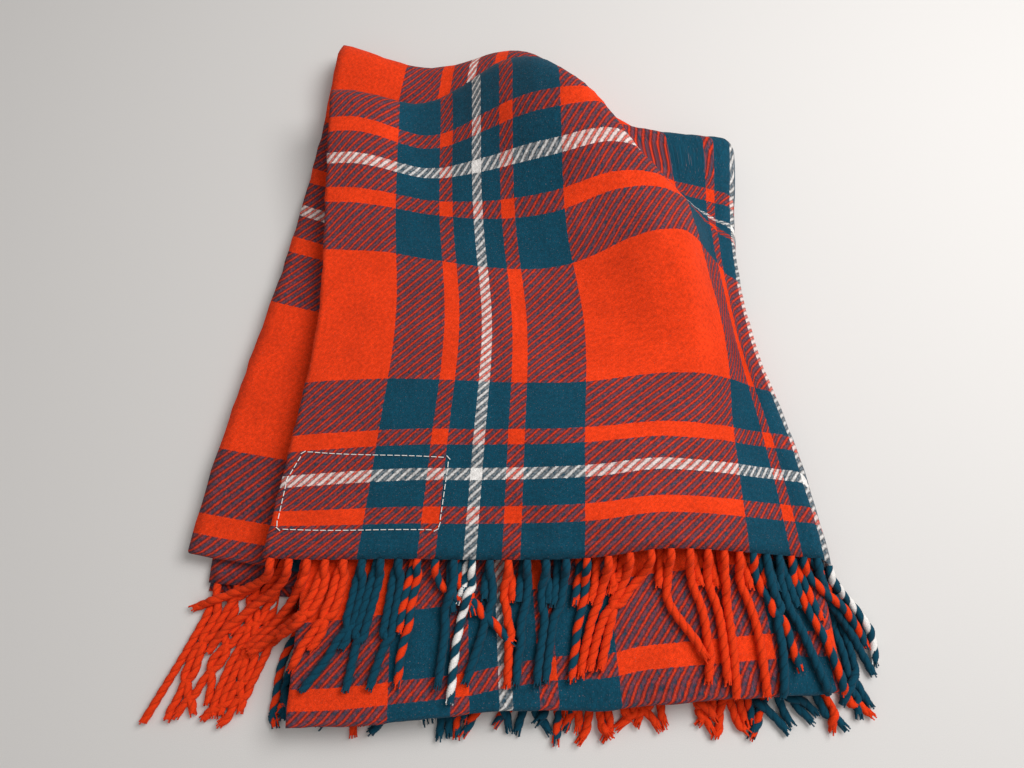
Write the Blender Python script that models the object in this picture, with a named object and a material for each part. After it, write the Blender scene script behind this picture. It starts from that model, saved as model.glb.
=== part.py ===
"""A wool travel blanket with a twisted fringe at each end, folded in four along its length and in
two across its width, lying loosely on a floor.

The cloth is one sheet. It is worked out in three steps:
1. its length is folded into a slab of four layers, with a fold at the back and one at the front;
2. that slab is folded over to the right, so that eight layers lie on each other;
3. the stack is laid out on the floor, with its upper half puffed up and turned against the lower.
"""

import math

import bmesh
import bpy
import numpy as np

# Wool
CLOTH_COLOUR = (0.62, 0.07, 0.03)
FRINGE_COLOUR = (0.52, 0.07, 0.04)
WOOL_ROUGHNESS = 0.95

# Cloth, in metres
WIDTH = 0.857
LENGTH = 1.793
SHEET = 0.0022
LAYER_PITCH = 0.0044
MIDDLE_GAP = 0.0030

# Fringe: twisted strands on a narrow backing at each end of the cloth
FRINGE = 0.100
STRANDS = 65
STRAND_WIDTH = 0.0060
STRAND_HEIGHT = 0.0034
STRAND_SECTIONS = (0.08, 0.30, 0.65, 1.0)
SECTION_CORNERS = ((-1, -1), (-1, 1), (1, 1), (1, -1))
SMALL_STEP = 0.0005
BACKING = 0.0040
SEAM_GAP = 0.0005

# The strands differ in length and lean from one to the next
UNEVEN_LENGTH = 0.06
UNEVEN_LENGTH_TURN = 2.4
UNEVEN_LEAN = 0.0015
UNEVEN_LEAN_TURN = 1.7

# How far the tips of the strands lean, at distances across the cloth
LEAN_ACROSS = (0.00, 0.10, 0.22, 0.34, 0.43, 0.60, 0.86)
LEAN = (-0.040, -0.020, 0.000, 0.012, 0.014, 0.008, 0.030)
LEAN_BEND = 1.5

# Where the cloth is folded: the back fold lies nearer to the fringe on the upper half,
# the side fold follows the middle white stripe, and the inner layers have slipped round
BACK_FOLD_LEFT = 0.408
BACK_FOLD_RIGHT = 0.460
SIDE_FOLD = 0.430
SLIP = 0.085
DRAW_IN = 0.08

# Layers from the middle of the stack outwards, in pitches
INNER_LAYER = 0.5
SECOND_LAYER = 1.5
OUTER_LAYER = 3.5
TOP = OUTER_LAYER * LAYER_PITCH + MIDDLE_GAP / 2
SECOND = SECOND_LAYER * LAYER_PITCH + MIDDLE_GAP / 2

# Folds of the slab, in pitches: how far each reaches behind or before its layers, and half the
# height between the layers that it joins
OUTER_TURN_REACH = 2.0
OUTER_TURN_HALF = 1.5
INNER_TURN_REACH = 0.6
INNER_TURN_HALF = 0.5
FRONT_TURN_REACH = 0.5

# Plan of the stack: along is the distance back from the front, measured from the back fold,
# with the place of the side fold and of the open edge of each half
PLAN_COLUMNS = ("along", "fold_x", "fold_y", "upper_x", "upper_y", "lower_x", "lower_y")
PLAN = (
    (0.060, 0.178, 0.282, -0.153, 0.325, -0.148, 0.400),
    (0.000, 0.180, 0.222, -0.154, 0.264, -0.155, 0.338),
    (-0.100, 0.180, 0.130, -0.156, 0.158, -0.172, 0.232),
    (-0.200, 0.184, 0.040, -0.156, 0.052, -0.190, 0.124),
    (-0.300, 0.202, -0.048, -0.168, -0.054, -0.214, 0.018),
    (-0.400, 0.217, -0.146, -0.184, -0.156, -0.236, -0.088),
    (-0.480, 0.224, -0.236, -0.195, -0.228, -0.247, -0.170),
    (-0.600, 0.230, -0.360, -0.205, -0.345, -0.255, -0.293),
)

# The lower half fans out towards the front, its outer layers less than its inner ones
LOWER_SPREAD = 0.085
SPREAD_REACH = 0.6
OUTER_SPREAD_LOSS = 0.6

# Soft swellings of the upper and lower half: height, x, y, radius in x, radius in y
UPPER_PUFFS = (
    (0.055, 0.070, 0.215, 0.085, 0.080),
    (0.034, 0.130, 0.095, 0.055, 0.065),
    (0.018, 0.085, -0.085, 0.085, 0.085),
    (0.008, -0.030, 0.000, 0.090, 0.110),
    (0.018, -0.135, 0.235, 0.042, 0.070),
    (-0.006, -0.070, 0.240, 0.028, 0.060),
)
LOWER_PUFFS = (
    (0.020, -0.150, 0.315, 0.045, 0.055),
    (0.026, 0.020, 0.300, 0.070, 0.060),
)

# The steep side of the swelling at the back right, as a line that the cloth falls away from
STEEP_POINT = (0.118, 0.158)
STEEP_NORMAL = (0.856, 0.518)
STEEP_WIDTH = 0.009

# The swellings die out at the side fold
BACK_LINE_Y = 0.228
FRONT_LINE_ALONG = -0.55
FADE_MARGIN = 0.004
FADE_WIDTH = 0.060

# The cloth crowds together on that side: how far at each distance along, and the share of that
# at each distance in from the side fold
CROWD_ALONG = (-0.60, -0.40, -0.30, -0.20, -0.10, 0.00)
CROWD = (0.000, 0.002, 0.020, 0.040, 0.020, 0.000)
CROWD_REACH = (0.00, 0.09, 0.20, 0.28, 0.43)
CROWD_SHARE = (0.00, 1.00, 0.63, 0.35, 0.00)

# The back fold of each half bulges backwards over its swelling
# and turns as loosely as the cloth just before it is swollen
UPPER_BULGE = 0.028
LOWER_BULGE = 0.046
BULGE_X = 0.010
BULGE_RADIUS = 0.060
BULGE_DEPTH = 0.14
LOOSENESS_ALONG = -0.012
SKIN_MARGIN = 0.0001

# Stations of the mesh
STRAIGHT_STATIONS = (-0.055, -0.095, -0.135, -0.175, -0.220, -0.265, -0.315, -0.365)
END_SPANS = 2
OUTER_TURN_SPANS = 8
INNER_TURN_SPANS = 6
UPPER_SPANS = 13
LOWER_SPANS = 11
SIDE_TURN_STATIONS = (0.0015, 0.0035, 0.0062, 0.0100, 0.0145, 0.0200, 0.0270)

# The middle of the laid-out stack, which goes to the origin
CENTRE = (-0.0077, 0.0159)


def smooth_step(x):
    """Rise smoothly from 0 to 1 as x goes from 0 to 1."""
    x = np.clip(x, 0.0, 1.0)
    return x * x * (3.0 - 2.0 * x)


def curve(at, stations, values):
    """Smooth curve through values at rising stations."""
    stations = np.asarray(stations)
    values = np.asarray(values)
    slopes = np.gradient(values, stations)
    i = np.clip(np.searchsorted(stations, at) - 1, 0, len(stations) - 2)
    span = stations[i + 1] - stations[i]
    t = (at - stations[i]) / span
    start = values[i] * (1 + 2 * t) * (1 - t) ** 2 + slopes[i] * span * t * (1 - t) ** 2
    end = values[i + 1] * t * t * (3 - 2 * t) + slopes[i + 1] * span * t * t * (t - 1)
    return start + end


PLAN_CURVES = {name: [row[k] for row in PLAN[::-1]] for k, name in enumerate(PLAN_COLUMNS)}


def plan(name, along):
    """One column of the plan at a distance along."""
    return curve(along, PLAN_CURVES["along"], PLAN_CURVES[name])


def puffs(table, x, y):
    """Height of the soft swellings over a place on the floor."""
    height = np.zeros(np.broadcast(x, y).shape)
    for peak, px, py, rx, ry in table:
        height = height + peak * np.exp(-((x - px) / rx) ** 2 - ((y - py) / ry) ** 2)
    return height


def upper_puff(x, y):
    """Swelling of the upper half, cut off along the steep line."""
    beyond = (x - STEEP_POINT[0]) * STEEP_NORMAL[0] + (y - STEEP_POINT[1]) * STEEP_NORMAL[1]
    fold_x = plan("fold_x", np.clip(y - BACK_LINE_Y, FRONT_LINE_ALONG, 0.0))
    inside = smooth_step((fold_x + FADE_MARGIN - x) / FADE_WIDTH)
    return puffs(UPPER_PUFFS, x, y) * inside / (1 + np.exp(beyond / STEEP_WIDTH))


def outwards(height):
    """How far out a layer lies: 0 on the two inner layers, 1 on the two outer ones."""
    return smooth_step((height - SECOND) / LAYER_PITCH)


def place(side, along, height):
    """Point of the laid-out stack.

    side is the distance from the side fold along the cloth, negative on the upper half,
    along the distance from the back fold and height the distance from the stack's middle.
    """
    turn = height * math.pi / 2
    angle = np.clip(side / height, -math.pi / 2, math.pi / 2)
    across = np.where(np.abs(side) < turn, height * np.cos(angle), turn - np.abs(side))
    level = -height * np.sin(angle)
    upper = smooth_step((level / height + 1) / 2)

    outer = outwards(height)
    drawn = along * (1 - DRAW_IN * outer * upper)
    x0 = plan("fold_x", drawn)
    y0 = plan("fold_y", drawn)
    spread = LOWER_SPREAD * np.clip(-along, 0.0, SPREAD_REACH) * (1 - OUTER_SPREAD_LOSS * outer)
    lower_part = -across / (WIDTH - SIDE_FOLD + spread - turn)
    upper_part = -across / (SIDE_FOLD - turn)
    low_x = x0 + (plan("lower_x", drawn) - x0) * lower_part
    low_y = y0 + (plan("lower_y", drawn) - y0) * lower_part
    up_x = x0 + (plan("upper_x", drawn) - x0) * upper_part
    up_y = y0 + (plan("upper_y", drawn) - y0) * upper_part

    crowd = curve(drawn, CROWD_ALONG, CROWD) * outer
    reach = np.clip(-across, 0.0, CROWD_REACH[-1])
    up_x = up_x + crowd * curve(reach, CROWD_REACH, CROWD_SHARE)
    at_back = smooth_step(1 + drawn / BULGE_DEPTH)
    up_y = up_y + UPPER_BULGE * at_back * np.exp(-((up_x - BULGE_X) / BULGE_RADIUS) ** 2)
    low_y = low_y + LOWER_BULGE * at_back * np.exp(-((low_x - BULGE_X) / BULGE_RADIUS) ** 2)

    x = low_x + (up_x - low_x) * upper
    y = low_y + (up_y - low_y) * upper
    lower_share = np.clip(1 + level / TOP, 0.0, 1.0)
    upper_share = np.clip(level / TOP, 0.0, 1.0)
    z = SHEET / 2 + TOP + level
    z = z + puffs(LOWER_PUFFS, x, y) * lower_share + upper_puff(x, y) * upper_share
    return np.stack([x - CENTRE[0], y - CENTRE[1], z], axis=-1)


def back_fold(across):
    """Length of cloth from the fringe to the back fold at a distance across the cloth."""
    return BACK_FOLD_LEFT + (BACK_FOLD_RIGHT - BACK_FOLD_LEFT) * across / WIDTH


def looseness(across):
    """How much wider than its layers' pitch the back fold turns."""
    side = across - SIDE_FOLD
    point = place(np.array(side), np.array(LOOSENESS_ALONG), np.array(TOP - SKIN_MARGIN))
    x = point[0] + CENTRE[0]
    y = point[1] + CENTRE[1]
    swelling = upper_puff(x, y) if side < 0 else puffs(LOWER_PUFFS, x, y)
    return 1.0 + float(swelling) / TOP


def turn(centre, reach, low, high, spans, towards):
    """Half an ellipse from one layer to the next: distances along and heights."""
    angle = np.linspace(math.pi / 2, -math.pi / 2, spans + 1)
    along = centre + towards * reach * np.cos(angle)
    height = (low + high) / 2 + (high - low) / 2 * np.sin(angle)
    return along, height


def profile(across):
    """The cloth's length, folded in four: distances along and heights of its stations."""
    level = [LAYER_PITCH * (INNER_LAYER + k) + MIDDLE_GAP / 2 for k in range(4)]
    loose = looseness(across)
    outer_reach = OUTER_TURN_REACH * LAYER_PITCH * loose
    inner_reach = INNER_TURN_REACH * LAYER_PITCH * loose
    front_reach = FRONT_TURN_REACH * LAYER_PITCH
    back = -outer_reach
    outer_turn = math.pi * (outer_reach + OUTER_TURN_HALF * LAYER_PITCH) / 2
    inner_turn = math.pi * (inner_reach + INNER_TURN_HALF * LAYER_PITCH) / 2
    inner_back = back + (outer_reach - inner_reach) / 2
    front_turn = math.pi * front_reach
    to_back = back_fold(across)
    first_end = back - (to_back - outer_turn / 2)
    front = back - (LENGTH / 2 - to_back - outer_turn / 2 - front_turn / 2)
    used = (back - first_end) + outer_turn + (back - front) + front_turn
    used += (inner_back - front) + inner_turn
    last_end = inner_back - (LENGTH - used)

    def straight(end, start=back):
        """Stations of one layer from the back fold to its end at the front."""
        stations = [start] + list(STRAIGHT_STATIONS)
        stations += list(np.linspace(stations[-1], end, END_SPANS + 1)[1:])
        return np.array(stations)

    runs = [
        (straight(first_end)[::-1], level[3]),
        turn(back, outer_reach, level[0], level[3], OUTER_TURN_SPANS, 1),
        (straight(front), level[0]),
        turn(front, front_reach, level[1], level[0], INNER_TURN_SPANS, -1),
        (straight(front, inner_back)[::-1], level[1]),
        turn(inner_back, inner_reach, level[2], level[1], INNER_TURN_SPANS, 1),
        (straight(last_end, inner_back), level[2]),
    ]
    along = []
    height = []
    for run_along, run_height in runs:
        start = 1 if along else 0
        along += list(run_along[start:])
        height += list(np.broadcast_to(run_height, run_along.shape)[start:])
    return np.array(along), np.array(height)


def side_fold(along, height):
    """Distance across the cloth of the side fold, which the inner layers have slipped."""
    return SIDE_FOLD + SLIP * along * (1 - outwards(height))


def across_stations():
    """Distances from the side fold for a cloth whose fold lies at its place at the back."""
    turn_end = SIDE_TURN_STATIONS[-1]
    upper = np.linspace(-SIDE_FOLD, -turn_end, UPPER_SPANS + 1)[:-1]
    lower = np.linspace(turn_end, WIDTH - SIDE_FOLD, LOWER_SPANS + 1)[1:]
    turned = np.array(SIDE_TURN_STATIONS)
    return np.concatenate([upper, -turned[::-1], [0.0], turned, lower])


def sides(nominal, along, height):
    """Distances from the side fold, stretched so that the edges stay at the cloth's edges."""
    turn_end = SIDE_TURN_STATIONS[-1]
    fold = side_fold(along, height)
    upper = -turn_end + (nominal + turn_end) * (fold - turn_end) / (SIDE_FOLD - turn_end)
    reach = WIDTH - SIDE_FOLD - turn_end
    lower = turn_end + (nominal - turn_end) * (WIDTH - fold - turn_end) / reach
    return np.where(nominal < -turn_end, upper, np.where(nominal > turn_end, lower, nominal))


def mesh_object(name, vertices, faces, material):
    """A smooth mesh object with its faces turned outwards."""
    mesh = bpy.data.meshes.new(name)
    mesh.from_pydata([tuple(v) for v in vertices], [], faces)
    shape = bmesh.new()
    shape.from_mesh(mesh)
    bmesh.ops.recalc_face_normals(shape, faces=shape.faces)
    shape.to_mesh(mesh)
    shape.free()
    mesh.shade_smooth()
    mesh.materials.append(material)
    piece = bpy.data.objects.new(name, mesh)
    bpy.context.scene.collection.objects.link(piece)
    return piece


def material(name, colour):
    """A matt woollen material."""
    result = bpy.data.materials.new(name)
    result.use_nodes = True
    shader = result.node_tree.nodes["Principled BSDF"]
    shader.inputs["Base Color"].default_value = (*colour, 1.0)
    shader.inputs["Roughness"].default_value = WOOL_ROUGHNESS
    shader.inputs["Metallic"].default_value = 0.0
    return result


def grid_normals(points):
    """Unit normals of a grid of points."""
    along = np.gradient(points, axis=0)
    across = np.gradient(points, axis=1)
    normal = np.cross(along, across)
    return normal / np.linalg.norm(normal, axis=-1, keepdims=True)


def blanket(wool):
    """The cloth: a closed sheet on its folded middle surface. Gives its two skins."""
    columns = []
    for nominal in across_stations():
        along, height = profile(SIDE_FOLD + nominal)
        columns.append(place(sides(nominal, along, height), along, height))
    middle = np.stack(columns, axis=1)
    normal = grid_normals(middle)
    rows, cols = middle.shape[:2]
    skins = [middle + normal * SHEET / 2, middle - normal * SHEET / 2]
    vertices = np.concatenate([skin.reshape(-1, 3) for skin in skins])
    count = rows * cols
    faces = []
    for i in range(rows - 1):
        for j in range(cols - 1):
            a, b = i * cols + j, i * cols + j + 1
            c, d = (i + 1) * cols + j + 1, (i + 1) * cols + j
            faces.append((a, b, c, d))
            faces.append((count + d, count + c, count + b, count + a))
    rim = [(i * cols, (i + 1) * cols) for i in range(rows - 1)]
    rim += [((rows - 1) * cols + j, (rows - 1) * cols + j + 1) for j in range(cols - 1)]
    rim += [((i + 1) * cols + cols - 1, i * cols + cols - 1) for i in range(rows - 1)]
    rim += [(j + 1, j) for j in range(cols - 1)]
    faces += [(a, b, count + b, count + a) for a, b in rim]
    mesh_object("blanket", vertices, faces, wool)
    return skins


def cloth_end(skins, first):
    """The cloth's end edge, a row for each station: places, corners and the way out of the cloth."""
    row, inner = (0, 1) if first else (-1, -2)
    below, above = skins if first else skins[::-1]
    places = []
    for nominal in across_stations():
        along, height = profile(SIDE_FOLD + nominal)
        side = float(sides(nominal, along, height)[row])
        fold = float(side_fold(along, height)[row])
        places.append((side + fold, side, along[row], height[row]))
    edge = np.gradient(below[row] + above[row], axis=0)
    edge = edge / np.linalg.norm(edge, axis=1, keepdims=True)
    out = below[row] + above[row] - below[inner] - above[inner]
    out = out - edge * np.sum(out * edge, axis=1, keepdims=True)
    out = out / np.linalg.norm(out, axis=1, keepdims=True)
    return np.concatenate([places, below[row], above[row], out], axis=1)


def section(side, along, height):
    """Four corners of a strand at a place beyond the cloth's end."""
    here = place(np.array(side), np.array(along), np.array(height))
    aside = place(np.array(side + SMALL_STEP), np.array(along), np.array(height)) - here
    ahead = place(np.array(side), np.array(along - SMALL_STEP), np.array(height)) - here
    aside = aside / np.linalg.norm(aside)
    up = np.cross(ahead, aside)
    up = up / np.linalg.norm(up)
    half_width = aside * STRAND_WIDTH / 2
    half_height = up * STRAND_HEIGHT / 2
    corners = [here + half_width * a + half_height * b for a, b in SECTION_CORNERS]
    lift = max(0.0, -min(corner[2] for corner in corners))
    return [corner + np.array((0.0, 0.0, lift)) for corner in corners]


def strand(number, side, along, height, across):
    """Sections of one strand from near the backing to its tip."""
    uneven = UNEVEN_LENGTH * math.sin(UNEVEN_LENGTH_TURN * number)
    length = (FRINGE - BACKING) * (1 + uneven)
    lean = float(curve(across, LEAN_ACROSS, LEAN))
    lean += UNEVEN_LEAN * math.sin(UNEVEN_LEAN_TURN * number)
    start = along - SEAM_GAP - BACKING
    return [
        section(side + lean * share ** LEAN_BEND, start - length * share, height)
        for share in STRAND_SECTIONS
    ]


def fringe(name, skins, first, wool):
    """One fringe: a backing along the cloth's end with its strands drawn out of it."""
    end = cloth_end(skins, first)
    pitch = WIDTH / STRANDS
    middles = [(number + 0.5) * pitch for number in range(STRANDS)]
    edges = [end[0, 0]]
    for middle in middles:
        edges += [middle - STRAND_WIDTH / 2, middle + STRAND_WIDTH / 2]
    edges.append(end[-1, 0])
    vertices = []
    faces = []

    def at(across):
        """The row of the cloth's end at a distance across."""
        return [float(np.interp(across, end[:, 0], end[:, k])) for k in range(end.shape[1])]

    def pair(across, out_by):
        """Add the lower and upper corner of the backing at a distance out of the cloth."""
        row = np.array(at(across))
        below, above, out = row[4:7], row[7:10], row[10:13]
        vertices.extend([below + out * out_by, above + out * out_by])
        return len(vertices) - 2

    fronts = [pair(across, SEAM_GAP + BACKING) for across in edges]
    backs = []
    for left, right in zip(edges, edges[1:]):
        between = [across for across in end[:, 0] if left < across < right]
        backs.append([pair(across, SEAM_GAP) for across in [left] + between])
    backs.append([pair(edges[-1], SEAM_GAP)])

    for i in range(len(edges) - 1):
        row = backs[i] + [backs[i + 1][0]]
        left, right = fronts[i], fronts[i + 1]
        faces.append((left, right, *row[::-1]))
        faces.append((*[k + 1 for k in row], right + 1, left + 1))
        faces += [(a, b, b + 1, a + 1) for a, b in zip(row, row[1:])]
        between_strands = i % 2 == 0
        if between_strands:
            faces.append((left, left + 1, right + 1, right))
    for front, back in ((fronts[0], backs[0][0]), (fronts[-1], backs[-1][0])):
        faces.append((front, front + 1, back + 1, back))

    for number, middle in enumerate(middles):
        left, right = fronts[1 + 2 * number], fronts[2 + 2 * number]
        ring = (left, left + 1, right + 1, right)
        side, along, height = at(middle)[1:4]
        for corners in strand(number, side, along, height, middle):
            vertices.extend(corners)
            following = tuple(range(len(vertices) - 4, len(vertices)))
            for k in range(4):
                n = (k + 1) % 4
                faces.append((ring[k], ring[n], following[n], following[k]))
            ring = following
        faces.append(ring)
    return mesh_object(name, vertices, faces, wool)


def main():
    """Model the blanket and its fringes."""
    for item in list(bpy.data.objects):
        bpy.data.objects.remove(item, do_unlink=True)
    skins = blanket(material("tartan_wool", CLOTH_COLOUR))
    fringe("fringe_first_end", skins, True, material("fringe_wool", FRINGE_COLOUR))
    fringe("fringe_last_end", skins, False, material("fringe_wool_inner", FRINGE_COLOUR))


main()
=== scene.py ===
"""Looks of the folded tartan travel blanket: its cloth, its twisted fringes and a line of stitches."""

import math

import bpy
import numpy as np
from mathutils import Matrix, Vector
from mathutils.bvhtree import BVHTree


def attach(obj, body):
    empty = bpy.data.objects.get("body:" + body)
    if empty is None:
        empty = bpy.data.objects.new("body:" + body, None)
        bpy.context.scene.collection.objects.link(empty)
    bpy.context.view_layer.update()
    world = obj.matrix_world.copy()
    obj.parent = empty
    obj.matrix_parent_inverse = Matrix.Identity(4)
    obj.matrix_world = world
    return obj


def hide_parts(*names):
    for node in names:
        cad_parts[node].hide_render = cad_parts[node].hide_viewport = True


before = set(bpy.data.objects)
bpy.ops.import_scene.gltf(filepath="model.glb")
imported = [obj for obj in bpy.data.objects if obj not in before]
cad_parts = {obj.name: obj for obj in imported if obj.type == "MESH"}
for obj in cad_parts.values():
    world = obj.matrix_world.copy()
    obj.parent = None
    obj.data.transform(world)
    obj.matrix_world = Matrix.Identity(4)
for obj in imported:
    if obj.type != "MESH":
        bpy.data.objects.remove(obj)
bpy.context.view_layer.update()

# Cloth, in metres
WIDTH = 0.857
LENGTH = 1.793
SHEET = 0.0022
LAYER_PITCH = 0.0044
MIDDLE_GAP = 0.0030

# Tartan: its repeat, and the stripes of one repeat in threads from inside a white stripe
REPEAT = 0.277
REPEAT_THREADS = 148
THREAD = REPEAT / REPEAT_THREADS
STRIPES = (
    ("white", 3), ("teal", 10), ("red", 7), ("teal", 23), ("red", 62),
    ("teal", 23), ("red", 7), ("teal", 11), ("white", 2),
)
WHITE_WARP = 0.1516
WHITE_WEFT = 0.0655
FIRST_WARP = WHITE_WARP - 1.5 * THREAD
FIRST_WEFT = WHITE_WEFT - 0.5 * THREAD
WOOL = {
    "red": (0.800, 0.045, 0.006),
    "teal": (0.003, 0.058, 0.098),
    "white": (0.860, 0.830, 0.800),
}

# Fringe: twisted strands along both ends of the cloth
FRINGE = 0.100
STRANDS = 65
STRAND_PITCH = WIDTH / STRANDS
STRAND_RADIUS = 0.0034
STRAND_TWIST = 0.0165
STRAND_WAIST = 0.83
STRAND_POINTS = 16
STRAND_SMOOTH_POINTS = 56
PLY_THREADS = 4
WHITE_SHARE = 0.3

# Way of a strand: its root, the way out of the cloth, its middle and its tip
ROOT_REACH = 0.010
ROOT_POINTS = 2
KNOT_SHARES = (0.0, 0.12, 0.52, 1.0)
CURVE_POINTS = 60
BEFORE_TIP = -6

# Shortest and longest strands on the top flap, on the flap below it, whose tips also lie back by
# a share, and under the cloth
FIRST_LENGTHS = (0.086, FRINGE)
LAST_LENGTHS = (0.050, FRINGE)
LOWER_LENGTHS = (0.045, FRINGE)
LAST_SHORTER = 0.1

# How far single strands stray from their way, and the bunches of the strands under the cloth
UPPER_WANDER = 0.002
LOWER_WANDER = 0.014
BUNCH = 3
BUNCH_WANDER = 0.010
BUNCH_SPREAD = 0.25
LOWER_TIPS = (-0.2680, -0.2520)

# Where strands may lie: below the cloth, in its open mouth at the left, and not too far right
RAY_HEIGHT = 0.25
LOW_CEILING = 0.0098
OPEN_CEILING = 0.030
OPEN_SIDE = -0.162
FARTHEST_RIGHT = 0.2720

# How strands settle in each step
SETTLE_STEPS = 90
FIRST_FREE_POINT = 3
FALL = 0.0009
UPPER_PULL = 0.25
LOWER_PULL = 0.10
STIFFNESS = 0.12
KEEP_OFF = 2 * STRAND_RADIUS * 0.93
PUSH_SHARE = 0.42
MOST_PUSH = 0.003
LEAST_DISTANCE = 1e-5

# Thickness of a strand, as shares of its radius, and of the fibres at its frayed tip
ROOT_LOSS = 0.10
ROOT_TAPER = 0.15
TIP_LOSS = 0.25
TIP_TAPER = 0.05
LEAST_THICKNESS = 0.05
FLOOR_GAP = 0.0002
FIBRES = 7
FIBRE_POINTS = 4
FIBRE_THICKNESS = 0.34
FIBRE_LOSS = 0.16
FIBRE_LENGTHS = (0.0085, 0.0115)
FIBRE_SPREADS = (0.0, 0.0012)
FIBRE_START = 0.0018
FIBRE_FLOOR = 0.0008

# Where the cloth is folded
BACK_FOLD_ACROSS = (0.00, 0.10, 0.20, 0.28, 0.35, 0.43, 0.52, 0.857)
BACK_FOLD = (0.4070, 0.4125, 0.4135, 0.4110, 0.4160, 0.4240, 0.4395, 0.4600)
SIDE_FOLD = 0.430
SLIP = 0.085
DRAW_IN = 0.08
SECOND_LAYER = 1.5
INNER_LAYER = 0.5
OUTER_LAYER = 3.5
TOP = OUTER_LAYER * LAYER_PITCH + MIDDLE_GAP / 2
SECOND = SECOND_LAYER * LAYER_PITCH + MIDDLE_GAP / 2
OUTER_TURN_REACH = 2.0
INNER_TURN_REACH = 0.6

# Plan of the stack at distances along from the back fold
PLAN_COLUMNS = ("along", "fold_x", "fold_y", "upper_x", "upper_y", "lower_x", "lower_y")
PLAN = (
    (0.060, 0.178, 0.288, -0.153, 0.325, -0.148, 0.400),
    (0.000, 0.180, 0.228, -0.154, 0.264, -0.155, 0.338),
    (-0.100, 0.173, 0.130, -0.156, 0.158, -0.172, 0.232),
    (-0.200, 0.180, 0.040, -0.156, 0.052, -0.190, 0.124),
    (-0.300, 0.202, -0.048, -0.168, -0.054, -0.214, 0.018),
    (-0.400, 0.217, -0.146, -0.184, -0.156, -0.236, -0.088),
    (-0.480, 0.224, -0.236, -0.195, -0.228, -0.247, -0.170),
    (-0.600, 0.230, -0.360, -0.205, -0.345, -0.255, -0.293),
)

# The lower half widens towards the front, its outer layers less than its inner ones
LOWER_SPREAD = 0.085
LOWER_SPREAD_REACH = 0.6
OUTER_SPREAD_LOSS = 0.6

# Soft swellings: height, x, y, radius in x, radius in y
UPPER_PUFFS = (
    (0.058, 0.062, 0.221, 0.085, 0.080),
    (0.034, 0.130, 0.095, 0.055, 0.065),
    (0.018, 0.085, -0.085, 0.085, 0.085),
    (0.008, -0.030, 0.000, 0.090, 0.110),
    (0.018, -0.135, 0.235, 0.042, 0.070),
    (-0.006, -0.070, 0.240, 0.028, 0.060),
)
LOWER_PUFFS = (
    (0.020, -0.150, 0.315, 0.045, 0.055),
    (0.026, 0.020, 0.300, 0.070, 0.060),
)

# The upper swelling ends at a steep line: a point on it, its normal, its bend and its width
STEEP_POINT = (0.1310, 0.168)
STEEP_NORMAL = (0.739, 0.673)
STEEP_BEND = 2.6
STEEP_BEND_LIMITS = (-0.0010, 0.0055)
STEEP_WIDTH = 0.0033

# It also fades out just before the side fold, which runs forwards from its back end
SIDE_FOLD_BACK = 0.228
SIDE_FOLD_RUN = 0.55
SIDE_FOLD_MARGIN = 0.004
SIDE_FOLD_FADE = 0.048

# How far the outer upper layer crowds to the right, at distances along and from the side fold
CROWD_ALONG = (-0.60, -0.40, -0.30, -0.20, -0.10, 0.00)
CROWD = (0.000, 0.012, 0.020, 0.040, 0.020, 0.000)
CROWD_REACH = (0.00, 0.09, 0.20, 0.28, 0.43)
CROWD_SHARE = (0.00, 1.15, 0.36, 0.28, 0.00)

# How far the folds at the back bulge backwards, and where
UPPER_BULGE = 0.034
LOWER_BULGE = 0.046
UPPER_BULGE_X = 0.003
LOWER_BULGE_X = 0.010
BULGE_RADIUS = 0.060
BULGE_DEPTH = 0.14

# The swelling opens the back fold, measured just in front of it and just below the top layer
OPENING_ALONG = -0.012
OPENING_BELOW = 1e-4

# Place on the plan that lies at the origin
CENTRE = (-0.0077, 0.0159)

# Stations of the cloth's fine mesh
RUN_SPANS = 44
OUTER_TURN_SPANS = 12
INNER_TURN_SPANS = 8
UPPER_SPANS = 104
LOWER_SPANS = 44
SIDE_TURN_SPANS = 20
SIDE_TURN_REACH = 0.0270
SIDE_TURN_CROWDING = 1.6

# Unevenness of the cloth's surface: height, wavelength across, wavelength along, slant, phase
RIPPLES = (
    (0.00045, 0.071, 0.093, 0.35, 0.4),
    (0.00030, 0.037, 0.052, -0.60, 1.9),
    (0.00020, 0.021, 0.029, 0.80, 4.1),
)

# The woven side edges waver: height, and each wave's length and phase
EDGE_WAVER = 0.00036
EDGE_WAVES = ((0.043, 0.0), (0.017, 1.0))

# The front fold is rounder than the layers' pitch and holds more cloth
FRONT_TURN_START = 2 * RUN_SPANS + OUTER_TURN_SPANS
FRONT_TURN_FULLNESS = 2.6
FRONT_SLIP = 0.007
FRONT_SLIP_REACH = 0.05
TURN_BLEND = 0.01

# The cloth beyond the steep line has slipped forwards
CORNER_SLIP = 0.026
CORNER_SLIP_START = 0.002
CORNER_SLIP_BLEND = 0.011
CORNER_SLIP_REACH = 0.060
CORNER_SLIP_SIDE = 0.06

# How far the rows of the top layer have slipped forwards near the back, at places across it
TOP_BLEND = 0.05
ROW_SLIP_ACROSS = (0.00, 0.06, 0.10, 0.22, 0.27, 0.31, 0.36, 0.43)
ROW_SLIP = (0.000, 0.003, 0.009, 0.009, -0.006, -0.014, -0.014, 0.000)
ROW_SLIP_START = 0.08
ROW_SLIP_BLEND = 0.20
EDGE_SLIP = 0.009
EDGE_SLIP_REACH = 0.05
EDGE_SLIP_BLEND = 0.06

# How far the front fold lies behind its place by the cloth's length, at places across it
FRONT_SHIFT_ACROSS = (0.00, 0.11, 0.16, 0.20, 0.25, 0.31, 0.36, 0.43, 0.52, 0.857)
FRONT_SHIFT = (-0.0065, -0.0055, 0.001, 0.004, 0.007, 0.008, 0.007, 0.004, 0.0, 0.0)

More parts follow.
